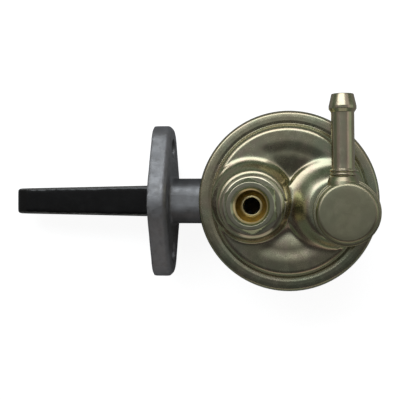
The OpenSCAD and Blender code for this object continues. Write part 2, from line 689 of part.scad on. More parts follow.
module rocker_link() color("slategray") at_pivot() rotate([0, -link_lean, 0]) {
    reach = link_len / cos(link_lean);
    difference() {
        side_plate(link_w) {
            circle(link_hub_r, $fn = 64);
            polygon([
                [0, link_hub_r - 0.2], [link_hub_r + 0.8, link_t / 2], [reach - 4, link_t / 2],
                [reach - 4, -link_t / 2], [link_len * 0.45, -link_t / 2], [0, 0.2 - link_hub_r]
            ]);
        }
        cross_bar(bush_r + run_gap, link_w + 2);
        translate([bush_r + 4, 0, link_t / 2 - 13.2])
            cube([2 * (reach - bush_r - 10), link_w - 4, 22], center = true);
    }
    difference() {
        linear_extrude(link_t, center = true) polygon(rounded([
            [reach - 7, -link_w / 2, 0], [reach - 4.4, -fork_w / 2, 2], [reach + 7.4, -fork_w / 2, 3],
            [reach + 7.4, fork_w / 2, 3], [reach - 4.4, fork_w / 2, 2], [reach - 7, link_w / 2, 0]
        ]));
        translate([reach - 0.6, 0, -5]) cylinder(r = slot_r, h = 10, $fn = 48);
        translate([reach - 0.6, -slot_r, -5]) cube([20, 2 * slot_r, 10]);
    }
}

module pivot_bush() color("goldenrod") at_pivot() difference() {
    cross_bar(bush_r, arm_w - 0.1);
    cross_bar(pin_r + run_gap, arm_w + 2);
}
module pivot_pin() color("lightsteelblue") at_pivot() cross_bar(pin_r, neck_w - 2.2);
module side_washers() color("gray") for (s = [-1, 1])
    at_pivot() translate([0, s * (arm_w + chamber_w) / 4, 0]) difference() {
        cross_bar(hub_r - 0.6, (chamber_w - arm_w) / 2 - 0.1);
        cross_bar(pin_r + seat_gap, 2);
    }
module pin_plugs() color("gray") for (s = [-1, 1])
    at_pivot() translate([0, s * (neck_w / 2 - 0.5), 0]) cross_bar(pin_r + 1.6, 0.9);
module return_spring() color("lightgray") translate([return_spring_x, 0, 0])
    spring(return_spring_r, return_wire_r, arm_top + 0.1, chamber_high - 0.05, 4.5, 24);

lower_housing();
cover();
cover_gasket();
valve_body();
inlet_fitting();
outlet_cup();
outlet_nipple();
inlet_valve_seat();
inlet_valve_disc();
inlet_valve_spring();
inlet_valve_cage();
outlet_valve_seat();
outlet_valve_disc();
outlet_valve_spring();
outlet_valve_cage();
diaphragm();
diaphragm_top_plate();
diaphragm_bottom_plate();
pull_rod();
diaphragm_spring();
oil_seal();
seal_retainer();
rocker_arm();
rocker_link();
pivot_bush();
pivot_pin();
side_washers();
pin_plugs();
return_spring();
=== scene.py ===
import json
import math

import bmesh
import bpy
from mathutils import Matrix, Vector


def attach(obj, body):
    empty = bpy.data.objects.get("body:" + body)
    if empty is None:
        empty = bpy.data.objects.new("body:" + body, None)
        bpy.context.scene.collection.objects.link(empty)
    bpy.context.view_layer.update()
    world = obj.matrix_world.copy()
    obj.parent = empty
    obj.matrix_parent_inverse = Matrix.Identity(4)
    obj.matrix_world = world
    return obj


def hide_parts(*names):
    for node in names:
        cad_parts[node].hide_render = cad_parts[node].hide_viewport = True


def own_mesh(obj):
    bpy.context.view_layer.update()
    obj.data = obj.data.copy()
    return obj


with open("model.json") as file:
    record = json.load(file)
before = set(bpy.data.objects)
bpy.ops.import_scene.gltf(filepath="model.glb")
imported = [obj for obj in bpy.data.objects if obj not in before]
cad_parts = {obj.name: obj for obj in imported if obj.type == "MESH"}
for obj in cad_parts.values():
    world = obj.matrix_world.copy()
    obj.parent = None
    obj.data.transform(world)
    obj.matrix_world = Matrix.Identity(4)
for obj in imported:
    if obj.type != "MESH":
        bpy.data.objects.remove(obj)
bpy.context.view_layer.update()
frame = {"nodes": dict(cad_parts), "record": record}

MM = 0.001
AXIS = (62.5, 0.0)          # the diaphragm's axis, from the mounting face
INLET = (48.1, -2.2)        # the inlet fitting
OUTLET = (87.7, -4.9)       # the outlet cup
NIPPLE = (86.1, -4.9)       # where the nipple's axis starts, beside the cup's
FLOOR_Z = -21.2
WELD, FINE_WELD = 1e-6, 1e-7    # metres within which two points become one


# Modelling helpers. Sizes are in millimetres and become metres when a vertex is placed.

def clear_selection():
    if bpy.context.mode != "OBJECT":
        bpy.ops.object.mode_set(mode="OBJECT")
    bpy.ops.object.select_all(action="DESELECT")


def make_active(piece):
    clear_selection()
    piece.select_set(True)
    bpy.context.view_layer.objects.active = piece


def edit(piece):
    make_active(piece)
    bpy.ops.object.mode_set(mode="EDIT")
    bpy.ops.mesh.select_all(action="DESELECT")


def done(piece, name, angle=35):
    """Leaves edit mode, applies the place and smooths what is rounder than the angle."""
    if bpy.context.mode != "OBJECT":
        bpy.ops.object.mode_set(mode="OBJECT")
    make_active(piece)
    bpy.ops.object.transform_apply(location=True, rotation=True, scale=True)
    bpy.ops.object.shade_smooth_by_angle(angle=math.radians(angle))
    piece.name = name
    piece.data.name = name
    return piece


def add_modifier(piece, kind, **values):
    make_active(piece)
    modifier = piece.modifiers.new(kind.lower(), kind)
    for key, value in values.items():
        setattr(modifier, key, value)
    bpy.ops.object.modifier_apply(modifier=modifier.name)


def drawn(profile):
    """A new piece, left in edit mode: a line of edges through the (radius, height) points."""
    clear_selection()
    bpy.ops.mesh.primitive_plane_add(size=MM)
    piece = bpy.context.object
    bpy.ops.object.mode_set(mode="EDIT")
    bpy.ops.mesh.select_all(action="SELECT")
    bpy.ops.mesh.merge(type="CENTER")
    bpy.ops.transform.translate(value=(profile[0][0] * MM, 0, profile[0][1] * MM))
    for (r0, z0), (r1, z1) in zip(profile, profile[1:]):
        step = ((r1 - r0) * MM, 0, (z1 - z0) * MM)
        bpy.ops.mesh.extrude_region_move(TRANSFORM_OT_translate={"value": step})
    bpy.ops.mesh.select_all(action="SELECT")
    return piece


def turned(profile, steps=128, closed=True):
    """A profile spun round the Z axis. A closed profile is one that ends where it starts."""
    piece = drawn(profile)
    bpy.ops.mesh.spin(steps=steps, angle=2 * math.pi, center=(0, 0, 0), axis=(0, 0, 1))
    bpy.ops.mesh.select_all(action="SELECT")
    bpy.ops.mesh.remove_doubles(threshold=WELD)
    if closed:
        bpy.ops.mesh.normals_make_consistent(inside=False)
    bpy.ops.object.mode_set(mode="OBJECT")
    return piece


def put(piece, place, turn=(0, 0, 0)):
    piece.location = [v * MM for v in place]
    piece.rotation_euler = [math.radians(a) for a in turn]


def rounded(corners, steps=5):
    """A path of corners (r, z, radius) with its corners rounded."""
    path = []
    for i, (x, y, radius) in enumerate(corners):
        if radius == 0 or i in (0, len(corners) - 1):
            path.append((x, y))
            continue
        here = Vector((x, y))
        before = (Vector(corners[i - 1][:2]) - here).normalized()
        after = (Vector(corners[i + 1][:2]) - here).normalized()
        half = before.angle(after) / 2
        mid = here + (before + after).normalized() * radius / math.sin(half)
        a = here + before * radius / math.tan(half) - mid
        b = here + after * radius / math.tan(half) - mid
        for k in range(steps + 1):
            spot = a.lerp(b, k / steps).normalized() * radius
            path.append((mid + spot)[:])
    return path


def finer(path, step):
    """The same path with no stretch longer than step."""
    out = [path[0]]
    for p, q in zip(path, path[1:]):
        n = max(1, math.ceil(math.dist(p, q) / step))
        for k in range(1, n + 1):
            out.append((p[0] + (q[0] - p[0]) * k / n, p[1] + (q[1] - p[1]) * k / n))
    return out


def copy_of(node):
    """A copy of a CAD node's mesh with its loose triangles joined up."""
    piece = frame["nodes"][node].copy()
    piece.data = piece.data.copy()
    piece.parent = None
    for key in list(piece.keys()):
        del piece[key]
    bpy.context.scene.collection.objects.link(piece)
    edit(piece)
    bpy.ops.mesh.select_all(action="SELECT")
    bpy.ops.mesh.remove_doubles(threshold=WELD)
    bpy.ops.mesh.normals_make_consistent(inside=False)
    bpy.ops.object.mode_set(mode="OBJECT")
    return piece


# Shader building

def node_in(tree, kind, x=0, **values):
    node = tree.nodes.new(kind)
    node.location = (x, 0)
    for key, value in values.items():
        if key in node.inputs:
            node.inputs[key].default_value = value
        else:
            setattr(node, key, value)
    return node


def colour(rgb):
    return (*rgb, 1.0)


def new_group(name, inputs, outputs):
    tree = bpy.data.node_groups.new(name, "ShaderNodeTree")
    for label, kind, value in inputs:
        socket = tree.interface.new_socket(name=label, in_out="INPUT", socket_type=kind)
        if value is not None:
            socket.default_value = value
    for label, kind in outputs:
        tree.interface.new_socket(name=label, in_out="OUTPUT", socket_type=kind)
    return tree, tree.nodes.new("NodeGroupInput"), tree.nodes.new("NodeGroupOutput")


FLOAT, COLOR, VECTOR = "NodeSocketFloat", "NodeSocketColor", "NodeSocketVector"
MID_GREY = colour((0.5, 0.5, 0.5))


def make_clouds():
    """Two colours that drift into each other in large soft patches, and smaller stains."""
    tree, gin, gout = new_group(
        "plating clouds",
        [("Vector", VECTOR, None), ("Size", FLOAT, 60.0), ("Base", COLOR, MID_GREY),
         ("Drift", COLOR, MID_GREY), ("Stain", COLOR, MID_GREY), ("Stain Share", FLOAT, 0.3)],
        [("Color", COLOR), ("Patch", FLOAT)])
    link = tree.links.new
    large = node_in(tree, "ShaderNodeTexNoise", Detail=3.0, Roughness=0.55, Distortion=0.6)
    link(gin.outputs["Vector"], large.inputs["Vector"])
    link(gin.outputs["Size"], large.inputs["Scale"])
    sharp = node_in(tree, "ShaderNodeMapRange", interpolation_type="SMOOTHSTEP")
    sharp.inputs["From Min"].default_value = 0.36
    sharp.inputs["From Max"].default_value = 0.66
    link(large.outputs["Fac"], sharp.inputs["Value"])
    drift = node_in(tree, "ShaderNodeMix", data_type="RGBA")
    link(sharp.outputs["Result"], drift.inputs["Factor"])
    link(gin.outputs["Base"], drift.inputs[6])
    link(gin.outputs["Drift"], drift.inputs[7])
    scale = node_in(tree, "ShaderNodeMath", operation="MULTIPLY")
    scale.inputs[1].default_value = 3.7
    link(gin.outputs["Size"], scale.inputs[0])
    small = node_in(tree, "ShaderNodeTexNoise", Detail=5.0, Roughness=0.6, Distortion=0.3)
    link(gin.outputs["Vector"], small.inputs["Vector"])
    link(scale.outputs[0], small.inputs["Scale"])
    spots = node_in(tree, "ShaderNodeMapRange", interpolation_type="SMOOTHSTEP")
    spots.inputs["From Min"].default_value = 0.46
    spots.inputs["From Max"].default_value = 0.72
    link(small.outputs["Fac"], spots.inputs["Value"])
    share = node_in(tree, "ShaderNodeMath", operation="MULTIPLY")
    link(spots.outputs["Result"], share.inputs[0])
    link(gin.outputs["Stain Share"], share.inputs[1])
    stain = node_in(tree, "ShaderNodeMix", data_type="RGBA")
    link(share.outputs[0], stain.inputs["Factor"])
    link(drift.outputs[2], stain.inputs[6])
    link(gin.outputs["Stain"], stain.inputs[7])
    link(stain.outputs[2], gout.inputs["Color"])
    link(large.outputs["Fac"], gout.inputs["Patch"])
    return tree


def make_grain():
    """Height and mask of a fine grain, made of two sizes of noise."""
    tree, gin, gout = new_group(
        "surface grain",
        [("Vector", VECTOR, None), ("Size", FLOAT, 1500.0), ("Coarse Share", FLOAT, 0.5)],
        [("Height", FLOAT), ("Mask", FLOAT)])
    link = tree.links.new
    fine = node_in(tree, "ShaderNodeTexNoise", Detail=4.0, Roughness=0.65)
    link(gin.outputs["Vector"], fine.inputs["Vector"])
    link(gin.outputs["Size"], fine.inputs["Scale"])
    fifth = node_in(tree, "ShaderNodeMath", operation="MULTIPLY")
    fifth.inputs[1].default_value = 0.22
    link(gin.outputs["Size"], fifth.inputs[0])
    coarse = node_in(tree, "ShaderNodeTexNoise", Detail=3.0, Roughness=0.5)
    link(gin.outputs["Vector"], coarse.inputs["Vector"])
    link(fifth.outputs[0], coarse.inputs["Scale"])
    blend = node_in(tree, "ShaderNodeMix", data_type="FLOAT")
    link(gin.outputs["Coarse Share"], blend.inputs["Factor"])
    link(fine.outputs["Fac"], blend.inputs[2])
    link(coarse.outputs["Fac"], blend.inputs[3])
    link(blend.outputs[0], gout.inputs["Height"])
    mask = node_in(tree, "ShaderNodeMapRange", interpolation_type="SMOOTHSTEP")
    mask.inputs["From Min"].default_value = 0.42
    mask.inputs["From Max"].default_value = 0.62
    link(coarse.outputs["Fac"], mask.inputs["Value"])
    link(mask.outputs["Result"], gout.inputs["Mask"])
    return tree


def make_tool_rings():
    """Fine rings round the Z axis of the vector, as a lathe or a press tool leaves them."""
    tree, gin, gout = new_group(
        "tool rings",
        [("Vector", VECTOR, None), ("Rings", FLOAT, 900.0), ("Waver", FLOAT, 2.0)],
        [("Height", FLOAT)])
    link = tree.links.new
    wave = node_in(tree, "ShaderNodeTexWave", wave_type="RINGS", rings_direction="Z", Detail=2.0)
    wave.inputs["Detail Scale"].default_value = 1.5
    link(gin.outputs["Vector"], wave.inputs["Vector"])
    link(gin.outputs["Rings"], wave.inputs["Scale"])
    link(gin.outputs["Waver"], wave.inputs["Distortion"])
    link(wave.outputs["Fac"], gout.inputs["Height"])
    return tree


CLOUDS = make_clouds()
GRAIN = make_grain()
TOOL_RINGS = make_tool_rings()


def group_in(material, tree, vector, **values):
    node = material.node_tree.nodes.new("ShaderNodeGroup")
    node.node_tree = tree
    for key, value in values.items():
        node.inputs[key.replace("_", " ")].default_value = value
    material.node_tree.links.new(vector, node.inputs["Vector"])
    return node


def start_material(name, **values):
    material = bpy.data.materials.new(name)
    material.use_nodes = True
    shader = material.node_tree.nodes["Principled BSDF"]
    for key, value in values.items():
        shader.inputs[key.replace("_", " ")].default_value = value
    coords = material.node_tree.nodes.new("ShaderNodeTexCoord")
    return material, shader, coords.outputs["Object"]


def centred(material, vector, place, turn=(0, 0, 0)):
    """Object coordinates moved and turned to a piece's own axis."""
    node = material.node_tree.nodes.new("ShaderNodeMapping")
    node.vector_type = "TEXTURE"
    node.inputs["Location"].default_value = [v * MM for v in place]
    node.inputs["Rotation"].default_value = [math.radians(a) for a in turn]
    material.node_tree.links.new(vector, node.inputs["Vector"])
    return node.outputs["Vector"]


def spread(material, fac, low, high):
    """Maps a mask to a range of values."""
    node = material.node_tree.nodes.new("ShaderNodeMapRange")
    node.inputs["To Min"].default_value = low
    node.inputs["To Max"].default_value = high
    material.node_tree.links.new(fac, node.inputs["Value"])
    return node.outputs["Result"]


def bump(material, shader, heights):
    """Stacks bumps: heights are (height socket, strength, distance in mm)."""
    last = None
    for height, strength, distance in heights:
        node = material.node_tree.nodes.new("ShaderNodeBump")
        node.inputs["Strength"].default_value = strength
        node.inputs["Distance"].default_value = distance * MM
        material.node_tree.links.new(height, node.inputs["Height"])
        if last is not None:
            material.node_tree.links.new(last, node.inputs["Normal"])
        last = node.outputs["Normal"]
    material.node_tree.links.new(last, shader.inputs["Normal"])


def drawn_tint(material, base):
    """The passive film is rosy where the sheet starts to slope and green on its steeper sides."""
    nodes, link = material.node_tree.nodes, material.node_tree.links.new
    coords = next(node for node in nodes if node.type == "TEX_COORD")
    split = nodes.new("ShaderNodeSeparateXYZ")
    link(coords.outputs["Normal"], split.inputs[0])
    film = nodes.new("ShaderNodeValToRGB")
    film.color_ramp.interpolation = "EASE"
    steps = film.color_ramp.elements
    steps[0].position, steps[0].color = 0.1, colour((0.97, 0.97, 0.97))
    steps[1].position, steps[1].color = 1.0, colour((0.97, 0.97, 0.97))
    films = ((0.5, (1.0, 0.93, 0.88)), (0.76, (0.86, 1.0, 0.84)), (0.93, (1.0, 0.87, 0.9)))
    for place, tint in films:
        step = steps.new(place)
        step.color = colour(tint)
    tinted = node_in(material.node_tree, "ShaderNodeMix", data_type="RGBA", blend_type="MULTIPLY")
    tinted.inputs["Factor"].default_value = 1.0
    link(split.outputs["Z"], film.inputs["Fac"])
    link(base, tinted.inputs[6])
    link(film.outputs["Color"], tinted.inputs[7])
    return tinted.outputs[2]


def plated(name, base, drift, stain, size, share, rough, centre, rings, ring_height, turn=(0, 0, 0)):
    """Zinc plate with a yellow passivation, over pressed or turned steel."""
    material, shader, vector = start_material(name, Metallic=1.0)
    link = material.node_tree.links.new
    clouds = group_in(material, CLOUDS, vector, Size=size, Base=colour(base), Drift=colour(drift),
                      Stain=colour(stain), Stain_Share=share)
    grain = group_in(material, GRAIN, vector, Size=1400.0, Coarse_Share=0.55)
    tool = group_in(material, TOOL_RINGS, centred(material, vector, centre, turn),
                    Rings=rings, Waver=1.2)
    link(drawn_tint(material, clouds.outputs["Color"]), shader.inputs["Base Color"])
    link(spread(material, grain.outputs["Mask"], *rough), shader.inputs["Roughness"])
    bump(material, shader, [(grain.outputs["Height"], 0.05, 0.04),
                            (tool.outputs["Height"], ring_height, 0.04)])
    return material


def ramp(material, value, low, high):
    """0 below low and 1 above high; low may be the larger of the two."""
    node = node_in(material.node_tree, "ShaderNodeMapRange", interpolation_type="SMOOTHSTEP")
    flip = low > high
    for key, number in zip(("From Min", "From Max", "To Min", "To Max"),
                           (min(low, high), max(low, high), float(flip), float(not flip))):
        node.inputs[key].default_value = number
    material.node_tree.links.new(value, node.inputs["Value"])
    return node.outputs["Result"]


def product(material, *factors):
    last = factors[0]
    for factor in factors[1:]:
        node = node_in(material.node_tree, "ShaderNodeMath", operation="MULTIPLY")
        material.node_tree.links.new(last, node.inputs[0])
        material.node_tree.links.new(factor, node.inputs[1])
        last = node.outputs[0]
    return last


def neck_side_shade(material, vector):
    """Painted shade on the casting: the neck's two sides, between the flange and the bowl, are darkened.
    """
    split = material.node_tree.nodes.new("ShaderNodeSeparateXYZ")
    material.node_tree.links.new(vector, split.inputs[0])
    side = node_in(material.node_tree, "ShaderNodeMath", operation="ABSOLUTE")
    material.node_tree.links.new(split.outputs["Y"], side.inputs[0])
    return product(material, ramp(material, side.outputs[0], 0.003, 0.0075),
                   ramp(material, split.outputs["X"], 0.0085, 0.0105),
                   ramp(material, split.outputs["X"], 0.032, 0.026))


def golden_lit_seat(material):
    """The inlet port's thread and flare seat are duller and more golden than the outside; the bright
    gold is partly a brass tone and partly painted light for the lit seat.
    """
    nodes, link = material.node_tree.nodes, material.node_tree.links.new
    shader = nodes["Principled BSDF"]
    vector = next(node for node in nodes if node.type == "TEX_COORD").outputs["Object"]
    local = centred(material, vector, INLET_LINE)
    split = nodes.new("ShaderNodeSeparateXYZ")
    link(local, split.inputs[0])
    across = nodes.new("ShaderNodeCombineXYZ")
    link(split.outputs["X"], across.inputs["X"])
    link(split.outputs["Y"], across.inputs["Y"])
    radius = node_in(material.node_tree, "ShaderNodeVectorMath", operation="LENGTH")
    link(across.outputs[0], radius.inputs[0])
    inside = product(material, ramp(material, radius.outputs["Value"], 0.0078, 0.0074),
                     ramp(material, split.outputs["Z"], 0.0432, 0.0424))
    # partly painted light: the port's inside takes a bright gold that stands in for the light on the
    # seat
    gold_and_light = node_in(material.node_tree, "ShaderNodeMix", data_type="RGBA")
    gold_and_light.inputs[7].default_value = colour((0.80, 0.66, 0.34))
    link(inside, gold_and_light.inputs["Factor"])
    link(shader.inputs["Base Color"].links[0].from_socket, gold_and_light.inputs[6])
    link(gold_and_light.outputs[2], shader.inputs["Base Color"])
    dull = node_in(material.node_tree, "ShaderNodeMix", data_type="FLOAT")
    dull.inputs[3].default_value = 0.3
    link(inside, dull.inputs["Factor"])
    link(shader.inputs["Roughness"].links[0].from_socket, dull.inputs[2])
    link(dull.outputs[0], shader.inputs["Roughness"])


def cast_metal():
    """The cast aluminium: dull, grainy, and darker on the neck's sides, where shade is painted."""
    material, shader, vector = start_material("cast aluminium", Metallic=1.0)
    link = material.node_tree.links.new
    clouds = group_in(material, CLOUDS, vector, Size=90.0, Base=colour((0.32, 0.32, 0.325)),
                      Drift=colour((0.37, 0.37, 0.38)), Stain=colour((0.23, 0.22, 0.21)),
                      Stain_Share=0.4)
    grain = group_in(material, GRAIN, vector, Size=1100.0, Coarse_Share=0.4)
    # painted shade: the neck's sides are darkened to half their colour
    shaded = node_in(material.node_tree, "ShaderNodeMix", data_type="RGBA", blend_type="MULTIPLY")
    shaded.inputs[7].default_value = colour((0.5, 0.5, 0.5))
    link(neck_side_shade(material, vector), shaded.inputs["Factor"])
    link(clouds.outputs["Color"], shaded.inputs[6])
    link(shaded.outputs[2], shader.inputs["Base Color"])
    link(spread(material, grain.outputs["Mask"], 0.5, 0.62), shader.inputs["Roughness"])
    bump(material, shader, [(grain.outputs["Height"], 0.4, 0.25)])
    return material


def black_finish():
    """The arm's black: half gloss, with a painted highlight that makes it paler along the bends."""
    material, shader, vector = start_material("black steel", Metallic=0.0)
    link = material.node_tree.links.new
    clouds = group_in(material, CLOUDS, vector, Size=120.0, Base=colour((0.002, 0.002, 0.002)),
                      Drift=colour((0.004, 0.004, 0.004)), Stain=colour((0.010, 0.009, 0.008)),
                      Stain_Share=0.3)
    grain = group_in(material, GRAIN, vector, Size=900.0, Coarse_Share=0.6)
    coords = material.node_tree.nodes.new("ShaderNodeTexCoord")
    split = material.node_tree.nodes.new("ShaderNodeSeparateXYZ")
    link(coords.outputs["Normal"], split.inputs[0])
    side = node_in(material.node_tree, "ShaderNodeMath", operation="ABSOLUTE")
    link(split.outputs["Y"], side.inputs[0])
    # painted highlight: faces that tilt sideways and up, along the arm's bends, are made paler
    edge_highlight = product(material, ramp(material, side.outputs[0], 0.2, 0.45),
                     ramp(material, split.outputs["Z"], 0.05, 0.3))
    highlighted = node_in(material.node_tree, "ShaderNodeMix", data_type="RGBA")
    highlighted.inputs[7].default_value = colour((0.11, 0.108, 0.10))
    link(edge_highlight, highlighted.inputs["Factor"])
    link(clouds.outputs["Color"], highlighted.inputs[6])
    link(highlighted.outputs[2], shader.inputs["Base Color"])
    link(spread(material, grain.outputs["Mask"], 0.14, 0.22), shader.inputs["Roughness"])
    bump(material, shader, [(grain.outputs["Height"], 0.2, 0.1)])
    return material


def plain_metal(name, base, drift, rough):
    """A bare metal with faint clouds and a fine grain."""
    material, shader, vector = start_material(name, Metallic=1.0)
    link = material.node_tree.links.new
    clouds = group_in(material, CLOUDS, vector, Size=150.0, Base=colour(base), Drift=colour(drift),
                      Stain=colour([v * 0.6 for v in base]), Stain_Share=0.3)
    grain = group_in(material, GRAIN, vector, Size=2200.0, Coarse_Share=0.3)
    link(clouds.outputs["Color"], shader.inputs["Base Color"])
    link(spread(material, grain.outputs["Mask"], *rough), shader.inputs["Roughness"])
    bump(material, shader, [(grain.outputs["Height"], 0.2, 0.06)])
    return material


def soft_stuff(name, base, drift, size):
    """Rubber or board: matt, with a moulded or fibrous grain of the given size."""
    material, shader, vector = start_material(name, Metallic=0.0)
    link = material.node_tree.links.new
    clouds = group_in(material, CLOUDS, vector, Size=200.0, Base=colour(base), Drift=colour(drift),
                      Stain=colour([v * 1.6 for v in base]), Stain_Share=0.3)
    grain = group_in(material, GRAIN, vector, Size=size, Coarse_Share=0.5)
    link(clouds.outputs["Color"], shader.inputs["Base Color"])
    link(spread(material, grain.outputs["Mask"], 0.6, 0.8), shader.inputs["Roughness"])
    bump(material, shader, [(grain.outputs["Height"], 0.5, 0.15)])
    return material


AXIS_LINE = (AXIS[0], AXIS[1], 0)
INLET_LINE = (INLET[0], INLET[1], 0)
OUTLET_LINE = (OUTLET[0], OUTLET[1], 0)
OLIVE, GREENISH = (0.49, 0.455, 0.305), (0.42, 0.455, 0.31)
KHAKI, ROSE = (0.425, 0.405, 0.265), (0.56, 0.43, 0.36)
NIPPLE_AT = (NIPPLE[0], NIPPLE[1], 39.5)
NIPPLE_TURN = (0, 90, 90.5)

COVER_STEEL = plated("cover steel", OLIVE, GREENISH, ROSE, size=45.0, share=0.45,
                     rough=(0.23, 0.28), centre=AXIS_LINE, rings=300.0, ring_height=0.04)
CUP_STEEL = plated("cup steel", KHAKI, (0.40, 0.395, 0.26), ROSE, size=60.0, share=0.15,
                   rough=(0.34, 0.38), centre=OUTLET_LINE, rings=500.0, ring_height=0.06)
FITTING_STEEL = plated("fitting steel", (0.60, 0.57, 0.43), (0.53, 0.54, 0.38), ROSE,
                       size=80.0, share=0.3, rough=(0.16, 0.22), centre=INLET_LINE,
                       rings=900.0, ring_height=0.08)
NIPPLE_STEEL = plated("nipple steel", (0.57, 0.52, 0.37), (0.49, 0.48, 0.33), ROSE,
                      size=90.0, share=0.35, rough=(0.2, 0.26), centre=NIPPLE_AT,
                      rings=900.0, ring_height=0.12, turn=NIPPLE_TURN)
golden_lit_seat(FITTING_STEEL)
# painted shade: the valve seat seen down the port is near black, as the hole's shade
SHADED_SEAT_BRASS = plain_metal("seat brass with painted shade", (0.03, 0.022, 0.012), (0.02, 0.016, 0.01),
                           (0.6, 0.75))
MATERIALS = {
    "cast_aluminium": cast_metal(),
    "passivated_steel": COVER_STEEL,
    "turned_fitting": FITTING_STEEL,
    "black_steel": black_finish(),
    "bright_steel": plain_metal("bright steel", (0.56, 0.56, 0.56), (0.48, 0.48, 0.47), (0.25, 0.38)),
    "brass": plain_metal("pressed brass", (0.78, 0.57, 0.2), (0.66, 0.47, 0.16), (0.22, 0.36)),
    "rubber": soft_stuff("rubber", (0.02, 0.02, 0.02), (0.03, 0.028, 0.026), 1800.0),
    "gasket_board": soft_stuff("gasket board", (0.14, 0.13, 0.11), (0.19, 0.17, 0.14), 1200.0),
}


def paint(piece, material):
    piece.data.materials.clear()
    piece.data.materials.append(material)


def finish_cad_nodes():
    """Each CAD node gets the material of its slot; the seat seen down the port is painted near black as
    shade.
    """
    slots = {row["node"]: row["material_slot"] for row in frame["record"]["subparts"]}
    for name, node in frame["nodes"].items():
        paint(node, SHADED_SEAT_BRASS if name == "inlet_valve_seat" else MATERIALS[slots[name]])


def install(piece, material, slot, body, *nodes):
    """Gives a piece its material, the body it moves with, and hides the node it stands for; slot is not
    used.
    """
    paint(piece, material)
    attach(piece, body)
    if nodes:
        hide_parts(*nodes)


# The pressed cover. Its relief is a height over each point of a turned blank.

GROOVE_Z, CRIMP_TOP, SHELF_Z = 22.2, 22.5, 27.4
CRIMP_LOW = 13.95               # the crimped edge's underside
COVER_R, SHEET, WALL_R = 39.2, 1.2, 33.3
FAN_DEPTH, FAN_RISE = 1.9, 1.3  # depth near the axis, and what is lost towards the outer end
FAN_RISE_R, FAN_LOW_R, FAN_TOP_R = 10.0, 20.8, 26.4
FAN_WALL = 4.4                  # width of a fan's sloping wall
# Each fan's two walls: a point on the wall and the direction from the wall into the fan
UPPER_FAN = [(-7.7, 17.7, 0.797, 0.604), (13.6, 16.5, -0.625, 0.78)]
LOWER_FAN = [(1.1, -10.0, 0.664, -0.747), (1.1, -10.0, -0.722, -0.692)]
LOBES = [
    dict(base=(-15.6, 0.4), base_r=17.6, top=(-14.4, -2.2), top_r=14.3, top_z=33.5),
    dict(base=(18.2, -1.5), base_r=18.8, top=(23.3, -4.1), top_r=13.0, top_z=32.6),
]
LOBE_BLEND = 1.6                # how softly the lobes and the shelf run into each other


def soft_max(a, b, k):
    """The larger of two heights, with the step between them rounded over k."""
    h = max(k - abs(a - b), 0.0) / k
    return max(a, b) + h * h * k / 4


def soft_min(a, b, k):
    return -soft_max(-a, -b, k)


def smooth_step(value, low, high):
    t = min(max((value - low) / (high - low), 0.0), 1.0)
    return t * t * (3 - 2 * t)


def lobe_height(x, y, lobe):
    """A lobe rises in an S from its base circle, on the shelf, to its smaller flat top."""
    inside = lobe["base_r"] - math.hypot(x - lobe["base"][0], y - lobe["base"][1])
    beyond = math.hypot(x - lobe["top"][0], y - lobe["top"][1]) - lobe["top_r"]
    if inside <= 0:
        return SHELF_Z + inside * 3.0
    if beyond <= 0:
        return lobe["top_z"]
    return SHELF_Z + (lobe["top_z"] - SHELF_Z) * smooth_step(inside / (inside + beyond), 0.0, 1.0)


def fan_share(x, y):
    """0 on the land round the fans, 1 on a fan's floor, with soft walls between."""
    walls = UPPER_FAN if y > 0 else LOWER_FAN
    depths = [(x - px) * nx + (y - py) * ny for px, py, nx, ny in walls]
    return (smooth_step(soft_min(*depths, 3.0), -FAN_WALL / 2, FAN_WALL / 2)
            * smooth_step(-math.hypot(x, y), -FAN_TOP_R, -FAN_LOW_R))


def relief(x, y, height):
    """Presses the fans and the lobes into the turned blank."""
    depth = FAN_DEPTH - FAN_RISE * smooth_step(math.hypot(x, y), FAN_RISE_R, FAN_LOW_R)
    height -= depth * fan_share(x, y)
    for lobe in LOBES:
        height = soft_max(height, lobe_height(x, y, lobe), LOBE_BLEND)
    return height


def face_up(piece):
    """Turns an open sheet so that its middle faces up."""
    edit(piece)
    bpy.ops.mesh.select_all(action="SELECT")
    bpy.ops.mesh.normals_make_consistent(inside=False)
    bpy.ops.object.mode_set(mode="OBJECT")
    middle = min(piece.data.polygons, key=lambda face: face.center.xy.length)
    if middle.normal.z < 0:
        edit(piece)
        bpy.ops.mesh.select_all(action="SELECT")
        bpy.ops.mesh.flip_normals()
        bpy.ops.object.mode_set(mode="OBJECT")


def pierce(piece, x, y, hole_r):
    """Takes out the sheet's faces within a hole, whose edge the piece that sits there hides."""
    edit(piece)
    bpy.ops.mesh.select_mode(type="FACE")
    mesh = bmesh.from_edit_mesh(piece.data)
    for face in mesh.faces:
        middle = face.calc_center_median() / MM
        face.select_set(math.hypot(middle.x - x, middle.y - y) < hole_r)
    bmesh.update_edit_mesh(piece.data)
    bpy.ops.mesh.delete(type="FACE")
    bpy.ops.mesh.select_mode(type="VERT")
    bpy.ops.object.mode_set(mode="OBJECT")


def soften(piece, radius, rounds):
    """Draws the pressed face smooth within a radius, as sheet steel takes a bend."""
    within = [v.index for v in piece.data.vertices if math.hypot(v.co.x, v.co.y) < radius * MM]
    piece.vertex_groups.new(name="pressed_face").add(within, 1.0, "REPLACE")
    add_modifier(piece, "SMOOTH", factor=0.5, iterations=rounds, vertex_group="pressed_face")
    piece.vertex_groups.clear()


